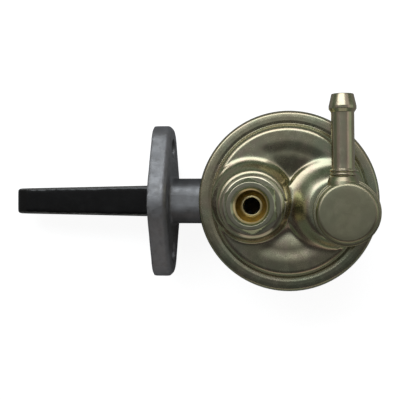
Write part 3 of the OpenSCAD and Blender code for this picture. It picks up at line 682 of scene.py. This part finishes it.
def pressed_cover():
    """The pressed steel cover, from its flat shelf down to the edge crimped round the casting."""
    path = rounded([
        (0, SHELF_Z, 0), (31.9, SHELF_Z, 2.6), (33.4, GROOVE_Z, 0.3), (34.8, CRIMP_TOP, 3.0),
        (36.4, CRIMP_TOP, 6.0), (38.5, CRIMP_TOP - 0.12, 1.3), (COVER_R, CRIMP_TOP - 2.0, 0.8),
        (COVER_R, CRIMP_LOW, 1.0), (COVER_R - 3.8, CRIMP_LOW, 0)], 7)
    inner = [point for point in path if point[0] <= WALL_R]
    piece = turned(finer(inner, 0.33) + path[len(inner):], 264, closed=False)
    for vertex in piece.data.vertices:
        x, y, z = vertex.co / MM
        if math.hypot(x, y) <= WALL_R:
            vertex.co.z = relief(x, y, z) * MM
    soften(piece, 29.5, 20)
    for place, hole_r in ((INLET, 8.8), (OUTLET, 6.0)):
        pierce(piece, place[0] - AXIS[0], place[1] - AXIS[1], hole_r)
    face_up(piece)
    add_modifier(piece, "SOLIDIFY", thickness=SHEET * MM, offset=-1.0)
    put(piece, AXIS_LINE)
    done(piece, "pressed_cover", 75)
    install(piece, COVER_STEEL, "passivated_steel", "housing", "cover")


# The inlet fitting: a turned blank whose upper part has six flats, and a port with a real thread.

SHANK_R, SHANK_LOW = 9.0, 30.5
COLLAR_R, COLLAR_LOW, COLLAR_TOP = 13.7, 33.5, 36.3
BLANK_R, FITTING_TOP = 12.0, 43.7
HEX_AF, HEX_TURN = 21.0, 35.0
PORT_R, PORT_LOW, SEAT_TOP, SEAT_R, HOLE_R = 7.2, 33.7, 36.9, 4.4, 3.6
UNDERCUT_R, UNDERCUT_TOP = 7.6, 37.3
THREAD_PITCH, THREAD_TURNS = 1.41, 3.5


def mill_flats(piece, low):
    """Moves what lies outside the hexagon onto its flats."""
    half = HEX_AF / 2
    for vertex in piece.data.vertices:
        x, y, z = [v / MM for v in vertex.co]
        r = math.hypot(x, y)
        if z <= low or r < 1:
            continue
        turn = (math.degrees(math.atan2(y, x)) - HEX_TURN + 30) % 60 - 30
        # a corner stands at turn 0 and the middle of a flat at 30 degrees
        flat = half / math.cos(math.radians(30 - abs(turn)))
        limit = soft_min(flat, half / math.cos(math.radians(30)) - 0.25, 0.4)
        if r > limit:
            vertex.co.x *= limit / r
            vertex.co.y *= limit / r


def flare_fitting():
    """The inlet fitting: collar, hexagon, and a port with its flare seat at the bottom."""
    bore = PORT_R + 0.1
    outside = rounded([
        (HOLE_R, SHANK_LOW, 0), (SHANK_R, SHANK_LOW, 0), (SHANK_R, COLLAR_LOW, 0),
        (COLLAR_R, COLLAR_LOW, 0.4), (COLLAR_R, COLLAR_TOP - 0.9, 0.5),
        (COLLAR_R - 1.5, COLLAR_TOP, 1.4), (BLANK_R, COLLAR_TOP, 0.1), (BLANK_R, FITTING_TOP - 1.6, 0.3),
        (9.9, FITTING_TOP, 0.4), (PORT_R + 1.0, FITTING_TOP, 0.2), (bore, FITTING_TOP - 0.9, 0),
        (bore, UNDERCUT_TOP, 0.1), (UNDERCUT_R, UNDERCUT_TOP - 0.2, 0.1), (UNDERCUT_R, PORT_LOW, 0),
        (bore, PORT_LOW, 0.1), (SEAT_R + 0.2, SEAT_TOP - 0.2, 0.2), (HOLE_R, SEAT_TOP, 0.2),
        (HOLE_R, SHANK_LOW, 0)], 4)
    piece = turned(finer(outside, 0.45), 240)
    mill_flats(piece, COLLAR_TOP + 0.1)
    put(piece, INLET_LINE)
    done(piece, "flare_fitting", 28)
    install(piece, FITTING_STEEL, "turned_fitting", "housing", "inlet_fitting")


def port_thread():
    """One tooth of the thread's profile, screwed down the bore."""
    low = UNDERCUT_TOP - 0.6
    root, crest = PORT_R + 0.3, PORT_R - 0.45
    tooth = [(root, low), (crest, low + 0.55), (crest, low + 0.75), (root, low + 1.3)]
    piece = drawn(tooth + tooth[:1])
    bpy.ops.mesh.remove_doubles(threshold=WELD)
    bpy.ops.mesh.edge_face_add()
    bpy.ops.object.mode_set(mode="OBJECT")
    steps = int(64 * THREAD_TURNS)
    add_modifier(piece, "SCREW", angle=2 * math.pi * THREAD_TURNS, axis="Z",
                 screw_offset=THREAD_PITCH * THREAD_TURNS * MM, steps=steps, render_steps=steps)
    edit(piece)
    bpy.ops.mesh.select_all(action="SELECT")
    bpy.ops.mesh.remove_doubles(threshold=FINE_WELD)
    bpy.ops.mesh.normals_make_consistent(inside=False)
    put(piece, INLET_LINE)
    done(piece, "port_thread", 25)
    install(piece, FITTING_STEEL, "turned_fitting", "housing")


# The outlet: a pressed cup and a turned nipple

CUP_R, CUP_FOOT_R, CUP_LOW, CUP_TOP = 12.7, 14.2, 32.6, 46.2
NIPPLE_R, BEAD_R, NIPPLE_LEN, NIPPLE_BORE = 4.75, 5.7, 48.8, 3.6
RING_R, RING_T = 5.6, 1.1


def outlet_cup():
    """The pressed cup, upside down on the cover, with a bare flat top."""
    profile = rounded([
        (CUP_R - SHEET, CUP_LOW, 0), (CUP_FOOT_R, CUP_LOW, 0.3), (CUP_FOOT_R, CUP_LOW + SHEET, 0.5),
        (CUP_R, CUP_LOW + SHEET, 0.6), (CUP_R, CUP_TOP, 1.8), (0, CUP_TOP, 0)], 7)
    inside = [(0, CUP_TOP - SHEET), (CUP_R - SHEET, CUP_TOP - SHEET), (CUP_R - SHEET, CUP_LOW)]
    piece = turned(finer(profile + inside, 2.0), 160)
    put(piece, OUTLET_LINE)
    done(piece, "domed_cup", 40)
    install(piece, CUP_STEEL, "passivated_steel", "housing", "outlet_cup")


def nipple_collar():
    """The cup's drawn collar, in which the nipple is held."""
    low, top = CUP_R - 1.4, CUP_R + 2.1
    bore = NIPPLE_R + 0.1
    profile = rounded([(bore, low, 0), (6.6, low, 0), (6.4, low + 1.6, 1.0), (5.7, top, 0.5),
                       (bore, top, 0.2), (bore, low, 0)], 5)
    piece = turned(finer(profile, 1.0), 96)
    put(piece, NIPPLE_AT, NIPPLE_TURN)
    done(piece, "nipple_collar", 35)
    install(piece, CUP_STEEL, "passivated_steel", "housing")


def hose_nipple():
    """The turned nipple: two rings at the cup, a plain tube and a bead that holds the hose."""
    start = CUP_R - 2.2
    ring_a, ring_b, bead = CUP_R + 2.5, CUP_R + 4.0, NIPPLE_LEN - 6.2
    profile = rounded([
        (NIPPLE_BORE, start, 0), (NIPPLE_R, start, 0.3), (NIPPLE_R, ring_a, 0.15),
        (RING_R, ring_a, 0.4), (RING_R, ring_a + RING_T, 0.4), (NIPPLE_R + 0.15, ring_a + RING_T, 0.1),
        (NIPPLE_R + 0.15, ring_b, 0.1), (RING_R, ring_b, 0.4), (RING_R, ring_b + RING_T, 0.4),
        (NIPPLE_R, ring_b + RING_T, 0.3), (NIPPLE_R, bead - 1.4, 0.5), (BEAD_R, bead, 0.5),
        (BEAD_R, bead + 1.2, 0.6), (NIPPLE_R - 0.2, NIPPLE_LEN, 0.35),
        (NIPPLE_BORE, NIPPLE_LEN, 0.2), (NIPPLE_BORE, start, 0)], 5)
    piece = turned(finer(profile, 3.0), 112)
    put(piece, NIPPLE_AT, NIPPLE_TURN)
    done(piece, "hose_nipple", 30)
    install(piece, NIPPLE_STEEL, "turned_fitting", "housing", "outlet_nipple")


def cast_housing():
    """The casting: a copy of the node with soft edges and fillets, as it comes out of a mould."""
    piece = copy_of("lower_housing")
    add_modifier(piece, "REMESH", mode="VOXEL", voxel_size=0.65 * MM)
    add_modifier(piece, "SMOOTH", factor=0.5, iterations=5)
    done(piece, "cast_housing", 60)
    install(piece, MATERIALS["cast_aluminium"], "cast_aluminium", "housing", "lower_housing")


def folded_arm():
    """The rocker arm, with the bends and edges of its folded sheet rounded."""
    piece = copy_of("rocker_arm")
    add_modifier(piece, "REMESH", mode="VOXEL", voxel_size=0.45 * MM)
    add_modifier(piece, "SMOOTH", factor=0.5, iterations=36)
    done(piece, "folded_arm", 60)
    install(piece, MATERIALS["black_steel"], "black_steel", "arm", "rocker_arm")


# Each spring, the joint that shortens it, the height of its held end, and how far its other
# end comes nearer at the joint's limit
SPRINGS = [
    ("diaphragm_spring", "plunger_slide", 6.55, 4.6),
    ("return_spring", "arm_swing", 10.25, 1.4),
    ("inlet_valve_spring", "inlet_disc_lift", 22.4, 1.3),
    ("outlet_valve_spring", "outlet_disc_lift", 26.4, 1.3),
]


def coil_springs():
    """The four springs, copied from their nodes in bright steel, each with a mesh of its own."""
    for node, joint, held_z, travel in SPRINGS:
        piece = copy_of(node)
        done(piece, node.replace("spring", "coil"), 40)
        install(piece, MATERIALS["bright_steel"], "bright_steel", "housing", node)
        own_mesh(piece)


# The studio

MIDDLE = (0.06, 0.0, 0.02)      # what the lights point at
CAMERA_AT, CAMERA_TARGET, CAMERA_LENS = (0.0813, 0.0, 0.4222), (0.0242, 0.0004, 0.0222), 83.0


def pale_floor():
    """A pale floor that the camera sees as white, apart from the object's soft shade."""
    clear_selection()
    bpy.ops.mesh.primitive_plane_add(size=6, location=(0, 0, FLOOR_Z * MM))
    piece = bpy.context.object
    piece.name = "pale_floor"
    material, shader, _ = start_material("pale floor", Base_Color=colour((0.4, 0.4, 0.4)),
                                         Roughness=0.9, Emission_Color=colour((1, 1, 1)))
    path = material.node_tree.nodes.new("ShaderNodeLightPath")
    glow = node_in(material.node_tree, "ShaderNodeMath", operation="MULTIPLY")
    glow.inputs[1].default_value = 0.9
    material.node_tree.links.new(path.outputs["Is Camera Ray"], glow.inputs[0])
    material.node_tree.links.new(glow.outputs[0], shader.inputs["Emission Strength"])
    paint(piece, material)


def area_light(name, place, size, glow, tint=(1, 1, 1)):
    """A soft box that faces the object; glow is how bright its face looks in a mirror."""
    data = bpy.data.lights.new(name, "AREA")
    data.shape = "RECTANGLE"
    data.size, data.size_y = size
    data.energy = glow * math.pi * size[0] * size[1]
    data.color = tint
    lamp = bpy.data.objects.new(name, data)
    bpy.context.scene.collection.objects.link(lamp)
    lamp.location = place
    lamp.rotation_euler = (Vector(MIDDLE) - Vector(place)).to_track_quat("-Z", "Y").to_euler()


def ceiling():
    """A ceiling whose glow fades towards the near side of the table; the camera can't see it."""
    clear_selection()
    bpy.ops.mesh.primitive_plane_add(size=3, location=(0, 0, 0.9))
    piece = bpy.context.object
    piece.name = "ceiling"
    piece.visible_camera = False
    material, shader, vector = start_material("ceiling", Base_Color=colour((0.1, 0.1, 0.1)),
                                              Roughness=0.9, Emission_Color=colour((0.97, 0.98, 1.0)))
    link = material.node_tree.links.new
    split = material.node_tree.nodes.new("ShaderNodeSeparateXYZ")
    link(vector, split.inputs[0])
    near = spread(material, ramp(material, split.outputs["Y"], -0.14, 0.11), 0.04, 0.24)
    far = spread(material, ramp(material, split.outputs["Y"], 0.15, 0.6), 0.0, 0.35)
    total = node_in(material.node_tree, "ShaderNodeMath", operation="ADD")
    link(near, total.inputs[0])
    link(far, total.inputs[1])
    link(total.outputs[0], shader.inputs["Emission Strength"])
    paint(piece, material)


def studio():
    """A dim room that the camera sees as near white, three soft boxes and the ceiling."""
    world = bpy.data.worlds.new("studio")
    world.use_nodes = True
    bpy.context.scene.world = world
    back = world.node_tree.nodes["Background"]
    back.inputs["Color"].default_value = colour((1.0, 0.99, 0.97))
    path = world.node_tree.nodes.new("ShaderNodeLightPath")
    dim = node_in(world.node_tree, "ShaderNodeMapRange")
    dim.inputs["To Min"].default_value = 0.15
    dim.inputs["To Max"].default_value = 0.9
    world.node_tree.links.new(path.outputs["Is Camera Ray"], dim.inputs["Value"])
    world.node_tree.links.new(dim.outputs["Result"], back.inputs["Strength"])
    area_light("key box", (-0.08, 0.5, 0.72), size=(0.9, 0.45), glow=2.3, tint=(0.88, 0.95, 1.0))
    area_light("right box", (0.8, 0.1, 0.3), size=(0.5, 0.7), glow=0.3)
    area_light("fill box", (0.1, -0.75, 0.42), size=(0.9, 0.4), glow=0.36, tint=(1.0, 0.9, 0.84))
    ceiling()
    bpy.context.scene.view_settings.view_transform = "Standard"


def camera():
    """The photo's view: from above, a little to the cover's side, with +Y up in the picture."""
    data = bpy.data.cameras.new("camera")
    data.lens = CAMERA_LENS
    data.clip_start, data.clip_end = 0.01, 20.0
    cam = bpy.data.objects.new("camera", data)
    bpy.context.scene.collection.objects.link(cam)
    spot = Vector(CAMERA_AT)
    back = (spot - Vector(CAMERA_TARGET)).normalized()
    right = Vector((0, 1, 0)).cross(back).normalized()
    up = back.cross(right)
    cam.matrix_world = Matrix(((right.x, up.x, back.x, spot.x), (right.y, up.y, back.y, spot.y),
                               (right.z, up.z, back.z, spot.z), (0, 0, 0, 1)))
    bpy.context.scene.camera = cam


finish_cad_nodes()
pressed_cover()
flare_fitting()
port_thread()
outlet_cup()
nipple_collar()
hose_nipple()
cast_housing()
folded_arm()
coil_springs()
pale_floor()
studio()
camera()
